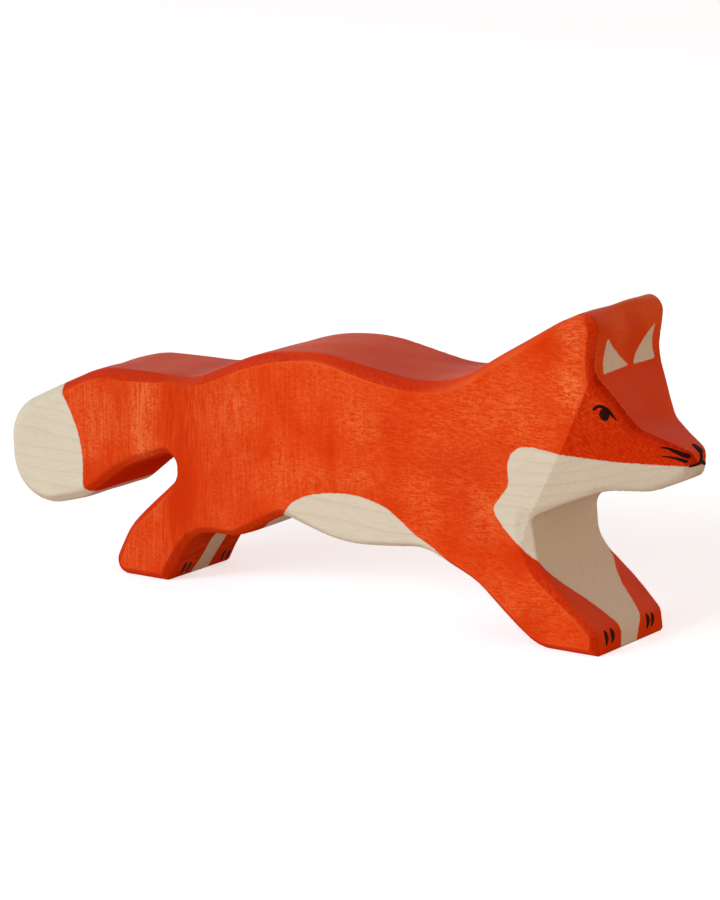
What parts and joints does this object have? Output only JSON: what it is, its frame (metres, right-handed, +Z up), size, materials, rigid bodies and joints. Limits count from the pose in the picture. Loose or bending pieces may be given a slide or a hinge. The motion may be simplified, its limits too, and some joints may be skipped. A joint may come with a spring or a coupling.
{
  "type": "animal figurine",
  "caption": "Running fox figurine sawn from one wooden plank, stained orange with bare wood patches and brushed black face marks and claws.",
  "frame": {"origin": "on the ground, under the middle of the figure's length and thickness", "axes": "+X from the tail to the nose, +Y to the fox's left side, across the plank's thickness, +Z up from the paws"},
  "size_m": [0.1652, 0.028, 0.0688],
  "materials": {
    "stained_wood": "matt orange wood stain over pale wood, bare on tail tip, belly, throat, chest and inner ears",
    "black_paint": "thick brushed black paint film, satin"
  },
  "bodies": {
    "root": {"wooden_body": "stained_wood", "eye_left": "black_paint", "eye_right": "black_paint", "front_claw_inner_left": "black_paint", "front_claw_inner_right": "black_paint", "front_claw_outer_left": "black_paint", "front_claw_outer_right": "black_paint", "hind_claw_inner_left": "black_paint", "hind_claw_inner_right": "black_paint", "hind_claw_outer_left": "black_paint", "hind_claw_outer_right": "black_paint", "lid_left": "black_paint", "lid_right": "black_paint", "lower_whisker_left": "black_paint", "lower_whisker_right": "black_paint", "nose_and_mouth": "black_paint", "upper_whisker_left": "black_paint", "upper_whisker_right": "black_paint"}
  },
  "joints": []
}
